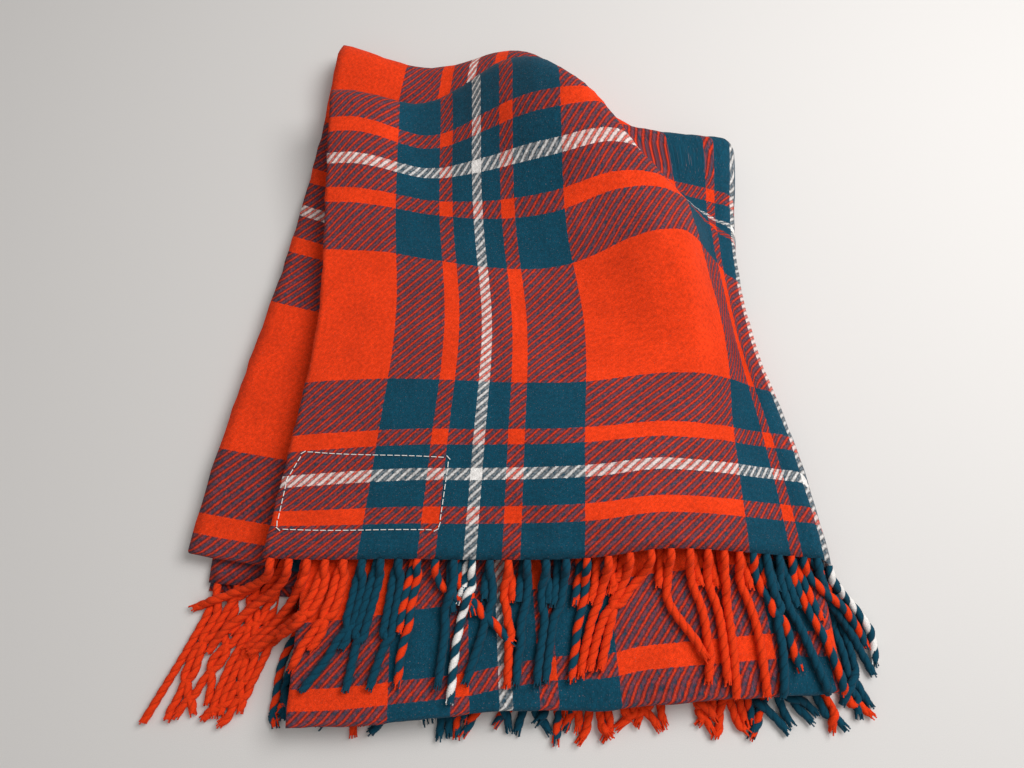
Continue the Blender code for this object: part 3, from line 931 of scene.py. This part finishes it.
def settle(paths, uppers, cloth_tree, inner_tree, steps):
    """Let the strands fall on the cloth, on the floor and on each other.

    The inner tree is the cloth without its top layer, for the strands of the tucked end.
    """
    count, points = paths.shape[:2]
    free = np.arange(points) >= FIRST_FREE_POINT
    top_end = np.arange(count) < STRANDS
    on_cloth = ((uppers & top_end)[:, None] & free[None, :]).reshape(-1)
    on_inner = ((uppers & ~top_end)[:, None] & free[None, :]).reshape(-1)
    under_cloth = (~uppers[:, None] & free[None, :]).reshape(-1)
    gap = np.linalg.norm(paths[:, -1] - paths[:, -2], axis=1)[:, None]
    target = paths.copy()
    now = paths.copy()
    loose = now[:, ROOT_POINTS:]
    strand_of = np.repeat(np.arange(count), points)
    pull = np.where(uppers, UPPER_PULL, LOWER_PULL)[:, None, None]
    for step in range(steps):
        loose[..., 2] -= FALL
        loose[..., :2] += (target[:, ROOT_POINTS:, :2] - loose[..., :2]) * pull
        now[:, 1:-1] += (now[:, :-2] + now[:, 2:] - 2 * now[:, 1:-1]) * STIFFNESS
        flat = now.reshape(-1, 3)
        flat = flat + pushes(flat, strand_of)
        for chosen, tree in ((on_cloth, cloth_tree), (on_inner, inner_tree)):
            lowest = ground_under(flat[chosen][:, :2], tree) + STRAND_RADIUS
            flat[chosen, 2] = np.maximum(flat[chosen, 2], lowest)
        ceiling = np.where(flat[under_cloth, 0] < OPEN_SIDE, OPEN_CEILING, LOW_CEILING)
        flat[under_cloth, 2] = np.minimum(flat[under_cloth, 2], ceiling)
        now = flat.reshape(count, points, 3)
        loose = now[:, ROOT_POINTS:]
        loose[..., 2] = np.maximum(loose[..., 2], STRAND_RADIUS)
        now[:, :ROOT_POINTS] = target[:, :ROOT_POINTS]
        for k in range(ROOT_POINTS, points):
            way = now[:, k] - now[:, k - 1]
            way = way / np.linalg.norm(way, axis=1, keepdims=True)
            now[:, k] = now[:, k - 1] + way * gap
        loose[..., 0] = np.minimum(loose[..., 0], FARTHEST_RIGHT)
    loose[..., 2] = np.maximum(loose[..., 2], STRAND_RADIUS)
    return now


def smooth_paths(paths, count):
    """Finer smooth paths through the settled points."""
    stations = np.linspace(0, 1, paths.shape[1])
    fine = np.linspace(0, 1, count)
    return np.stack(
        [[curve(fine, stations, path[:, k]) for k in range(3)] for path in paths]
    ).transpose(0, 2, 1)


def frayed_tip(path, generator):
    """Short fibres that spread from the last of a strand."""
    way = way_of(path)
    aside = np.cross(way, (0.0, 0.0, 1.0))
    aside = aside / np.linalg.norm(aside)
    upwards = np.cross(aside, way)
    share = np.linspace(0, 1, FIBRE_POINTS)[:, None]
    fibres = []
    for k in range(FIBRES):
        angle = 2 * math.pi * (k + generator.uniform(0, 1)) / FIBRES
        out = aside * math.cos(angle) + upwards * math.sin(angle)
        length = generator.uniform(*FIBRE_LENGTHS)
        spread = generator.uniform(*FIBRE_SPREADS)
        fibre = path[BEFORE_TIP] + way * length * share + out * (FIBRE_START + spread * share ** 2)
        fibre[:, 2] = np.maximum(fibre[:, 2], FIBRE_FLOOR)
        fibres.append(fibre)
    return fibres


def strand_lines(name, paths, colours, seed):
    """A mesh of lines for the strands and their frayed tips, with the colours of the plies."""
    generator = np.random.default_rng(seed)
    share = np.linspace(0, 1, paths.shape[1])
    body = 1 - ROOT_LOSS + ROOT_LOSS * smooth_step(share / ROOT_TAPER)
    body -= TIP_LOSS * smooth_step((share - 1 + TIP_TAPER) / TIP_TAPER)
    thin = FIBRE_THICKNESS - FIBRE_LOSS * np.linspace(0, 1, FIBRE_POINTS)
    lines = []
    for path, pair in zip(paths, colours):
        above_floor = np.maximum((path[:, 2] - FLOOR_GAP) / STRAND_RADIUS, LEAST_THICKNESS)
        lines.append((path, np.clip(body, LEAST_THICKNESS, above_floor), pair))
        for k, fibre in enumerate(frayed_tip(path, generator)):
            lines.append((fibre, thin, (pair[k % 2], pair[k % 2])))
    places, edges, sizes, plies = [], [], [], ([], [])
    for line, size, pair in lines:
        edges += [(len(places) + k, len(places) + k + 1) for k in range(len(line) - 1)]
        places += line.tolist()
        sizes += list(size)
        for ply, colour in zip(plies, pair):
            ply += [colour] * len(line)
    mesh = bpy.data.meshes.new(name)
    mesh.from_pydata(places, edges, [])
    for attribute, ply in zip(("first_ply", "second_ply"), plies):
        layer = mesh.attributes.new(attribute, "FLOAT_COLOR", "POINT")
        layer.data.foreach_set("color", np.array(ply, dtype=np.float32).ravel())
    layer = mesh.attributes.new("thickness", "FLOAT", "POINT")
    layer.data.foreach_set("value", np.array(sizes, dtype=np.float32))
    return add_piece(name, mesh)


class Tree(Graph):
    """A geometry tree with named inputs."""

    def __init__(self, name, sockets):
        super().__init__(bpy.data.node_groups.new(name, "GeometryNodeTree"))
        face = self.tree.interface
        face.new_socket("Geometry", in_out="INPUT", socket_type="NodeSocketGeometry")
        for socket, kind in sockets.items():
            face.new_socket(socket, in_out="INPUT", socket_type=kind)
        face.new_socket("Geometry", in_out="OUTPUT", socket_type="NodeSocketGeometry")
        self.given = self.add("NodeGroupInput").outputs

    def finish(self, geometry):
        """Realize the instances, set the material and end the tree."""
        plain = self.add("GeometryNodeRealizeInstances", {"Geometry": geometry})
        finished = self.add("GeometryNodeSetMaterial", {
            "Geometry": plain, "Material": self.given["Material"]})
        self.add("NodeGroupOutput", {"Geometry": finished})
        return self.tree


def applied(piece, tree, values):
    """Run a geometry tree on a piece and keep the plain mesh."""
    modifier = piece.modifiers.new("tree", "NODES")
    modifier.node_group = tree
    for item in tree.interface.items_tree:
        if item.in_out == "INPUT" and item.name in values:
            modifier[item.identifier] = values[item.name]
    depsgraph = bpy.context.evaluated_depsgraph_get()
    mesh = bpy.data.meshes.new_from_object(piece.evaluated_get(depsgraph))
    piece.modifiers.clear()
    piece.data = mesh
    return piece


def twist_tree():
    """Turns lines into twisted two-ply strands."""
    t = Tree("twisted_strands", {
        "Radius": "NodeSocketFloat",
        "Twist length": "NodeSocketFloat",
        "Material": "NodeSocketMaterial",
    })
    lines = t.add("GeometryNodeMeshToCurve", {"Mesh": t.given["Geometry"]})
    place_on = t.add("GeometryNodeSplineParameter").outputs
    turns = t.math("DIVIDE", place_on["Length"], t.given["Twist length"])
    tilted = t.add("GeometryNodeSetCurveTilt", {
        "Curve": lines, "Tilt": t.math("MULTIPLY", turns, 2 * math.pi)})
    thickness = t.add("GeometryNodeInputNamedAttribute", {"Name": "thickness"}, data_type="FLOAT")
    size = t.math("MULTIPLY", thickness.outputs["Attribute"], t.given["Radius"])
    sized = t.add("GeometryNodeSetCurveRadius", {"Curve": tilted, "Radius": size})

    # Section of two plies that touch
    ring = t.add("GeometryNodeCurvePrimitiveCircle", {"Resolution": 12, "Radius": 1.0})
    wave = t.math("SINE", t.math("MULTIPLY", place_on["Factor"], 2 * math.pi))
    waist = t.add("ShaderNodeMapRange", {
        "Value": t.math("ABSOLUTE", wave), "To Min": STRAND_WAIST, "To Max": 1.0})
    position = t.add("GeometryNodeInputPosition")
    drawn = t.add("ShaderNodeVectorMath", {0: position, "Scale": waist}, operation="SCALE")
    section = t.add("GeometryNodeSetPosition", {"Geometry": ring, "Position": drawn})
    marked = t.add("GeometryNodeStoreNamedAttribute", {
        "Geometry": section, "Name": "ply", "Value": wave}, data_type="FLOAT", domain="POINT")

    strands = t.add("GeometryNodeCurveToMesh", {
        "Curve": sized, "Profile Curve": marked, "Fill Caps": True,
        "Scale": t.add("GeometryNodeInputRadius")})
    return t.finish(t.add("GeometryNodeSetShadeSmooth", {"Geometry": strands}))


def make_fringes(points, u, cloth_tree, inner_tree, wool):
    """Both fringes, settled together."""
    top_end = strand_targets(points, u, None)
    ends = [top_end, strand_targets(points, u, top_end)]
    paths = np.stack([
        even_path(knots, STRAND_POINTS, lengths) for end in ends for knots, _, _, lengths in end
    ])
    steps = SETTLE_STEPS
    uppers = np.array([upper for end in ends for _, upper, _, _ in end])
    settled = settle(paths, uppers, cloth_tree, inner_tree, steps)
    fine = smooth_paths(settled, STRAND_SMOOTH_POINTS)
    tree = twist_tree()
    made = []
    for k, (name, end) in enumerate(zip(("fringe_strands_first", "fringe_strands_last"), ends)):
        colours = [strand_colours(at) for _, _, at, _ in end]
        lines = strand_lines(name, fine[k * STRANDS:(k + 1) * STRANDS], colours, 21 + k)
        made.append(applied(lines, tree, {
            "Radius": STRAND_RADIUS, "Twist length": STRAND_TWIST, "Material": wool,
        }))
    return made


# Stitches: corners of the sewn rectangle in the flat cloth, across and along
STITCH_LENGTH = 0.0040
STITCH_GAP = 0.0014
STITCH_RADIUS = 0.00035
STITCH_LIFT = 0.0006
STITCH_LINE_STEP = 0.002
STITCH_CORNERS = (
    (0.004, 0.060), (0.005, 0.022), (0.125, 0.022), (0.127, 0.078), (0.012, 0.082), (0.004, 0.060),
)


def stitch_tree():
    """Stitches laid end to end along a line."""
    t = Tree("stitches", {
        "Spacing": "NodeSocketFloat",
        "Length": "NodeSocketFloat",
        "Radius": "NodeSocketFloat",
        "Material": "NodeSocketMaterial",
    })
    line = t.add("GeometryNodeMeshToCurve", {"Mesh": t.given["Geometry"]})
    spaced = t.add("GeometryNodeResampleCurve", {
        "Curve": line, "Length": t.given["Spacing"]}, mode="LENGTH")
    left = t.add("ShaderNodeCombineXYZ", {"Z": t.math("MULTIPLY", t.given["Length"], 0.5)})
    right = t.add("ShaderNodeVectorMath", {0: left, "Scale": -1.0}, operation="SCALE")
    thread = t.add("GeometryNodeCurvePrimitiveLine", {"Start": left, "End": right})
    ring = t.add("GeometryNodeCurvePrimitiveCircle", {"Resolution": 6, "Radius": t.given["Radius"]})
    one = t.add("GeometryNodeCurveToMesh", {
        "Curve": thread, "Profile Curve": ring, "Fill Caps": True})
    turned = t.add("FunctionNodeAlignEulerToVector", {
        "Vector": t.add("GeometryNodeInputTangent")}, axis="Z")
    return t.finish(t.add("GeometryNodeInstanceOnPoints", {
        "Points": spaced, "Instance": one, "Rotation": turned}))


def make_stitches(thread):
    """The sewn rectangle on the top flap."""
    corners = np.array(STITCH_CORNERS)
    reach = np.concatenate([[0], np.cumsum(np.linalg.norm(np.diff(corners, axis=0), axis=1))])
    at = np.arange(0, reach[-1], STITCH_LINE_STEP)
    across = np.interp(at, reach, corners[:, 0])
    from_end = np.interp(at, reach, corners[:, 1])
    points = []
    for u, v in zip(across, from_end):
        along, height = profile(u)
        point = place(np.array(u - SIDE_FOLD), along[0] + v, height[0])
        points.append(point + np.array((0, 0, SHEET / 2 + STITCH_LIFT)))
    mesh = bpy.data.meshes.new("stitches")
    count = len(points)
    mesh.from_pydata(np.array(points).tolist(), [(k, k + 1) for k in range(count - 1)], [])
    piece = add_piece("patch_stitches", mesh)
    return applied(piece, stitch_tree(), {
        "Spacing": STITCH_LENGTH + STITCH_GAP, "Length": STITCH_LENGTH,
        "Radius": STITCH_RADIUS, "Material": thread,
    })


# Stage

CAMERA_LENS = 26
CAMERA_SENSOR = 36
CAMERA_HEIGHT_ANGLE = math.radians(72)
CAMERA_DISTANCE = 0.565
CAMERA_AIM_HEIGHT = 0.040

# Soft square lights that shine at the origin: name, power, side and place
LIGHTS = (
    ("high_light", 17.0, 0.8, (0.75, 0.35, 1.15)),
    ("front_light", 3.0, 1.4, (0.1, -1.1, 1.2)),
)
FLOOR_REACH = 3
FLOOR_COLOUR = (0.72, 0.70, 0.68)
FLOOR_ROUGHNESS = 0.8
ROOM_COLOUR = (1.0, 0.98, 0.96, 1.0)
ROOM_STRENGTH = 0.30
THREAD_COLOUR = (0.86, 0.84, 0.80)
THREAD_ROUGHNESS = 0.7


def make_camera():
    """Camera above the front, looking down and a little forward."""
    data = bpy.data.cameras.new("camera")
    data.lens = CAMERA_LENS
    data.sensor_width = CAMERA_SENSOR
    camera = bpy.data.objects.new("camera", data)
    bpy.context.scene.collection.objects.link(camera)
    look = Vector((0, math.cos(CAMERA_HEIGHT_ANGLE), -math.sin(CAMERA_HEIGHT_ANGLE)))
    aim = Vector((-CENTRE[0], -CENTRE[1], CAMERA_AIM_HEIGHT))
    camera.location = aim - look * CAMERA_DISTANCE
    camera.rotation_euler = (math.pi / 2 - CAMERA_HEIGHT_ANGLE, 0, 0)
    bpy.context.scene.camera = camera


def make_light(name, energy, size, place_at):
    """A soft square light that shines at the origin."""
    data = bpy.data.lights.new(name, "AREA")
    data.energy = energy
    data.size = size
    light = bpy.data.objects.new(name, data)
    bpy.context.scene.collection.objects.link(light)
    light.location = place_at
    light.rotation_euler = (-Vector(place_at)).to_track_quat("-Z", "Y").to_euler()


def make_stage():
    """A plain pale floor with soft light from above."""
    corners = [(x * FLOOR_REACH, y * FLOOR_REACH, 0) for x, y in ((-1, -1), (1, -1), (1, 1), (-1, 1))]
    mesh = bpy.data.meshes.new("floor")
    mesh.from_pydata(corners, [], [(0, 1, 2, 3)])
    mesh.materials.append(plain_material("pale_floor", FLOOR_COLOUR, FLOOR_ROUGHNESS))
    floor = add_piece("floor", mesh)
    for light in LIGHTS:
        make_light(*light)
    world = bpy.data.worlds.new("room")
    world.use_nodes = True
    background = world.node_tree.nodes["Background"]
    background.inputs["Color"].default_value = ROOM_COLOUR
    background.inputs["Strength"].default_value = ROOM_STRENGTH
    bpy.context.scene.world = world
    bpy.context.scene.view_settings.view_transform = "Standard"
    return floor


make_camera()
floor = make_stage()
points, u, v = fine_cloth()
cloth = cloth_piece(points, u, v, tartan_material())
cloth_tree, inner_tree = cloth_trees(cloth.data, u.shape)
fringes = make_fringes(points, u, cloth_tree, inner_tree, strand_material())
stitches = make_stitches(plain_material("white_thread", THREAD_COLOUR, THREAD_ROUGHNESS))

for piece, node_name, slot in (
    (cloth, "blanket", "tartan_wool"),
    (fringes[0], "fringe_first_end", "fringe_wool"),
    (fringes[1], "fringe_last_end", "fringe_wool"),
    (stitches, None, "tartan_wool"),
):
    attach(piece, "root")
    if node_name:
        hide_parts(node_name)

bpy.context.view_layer.update()
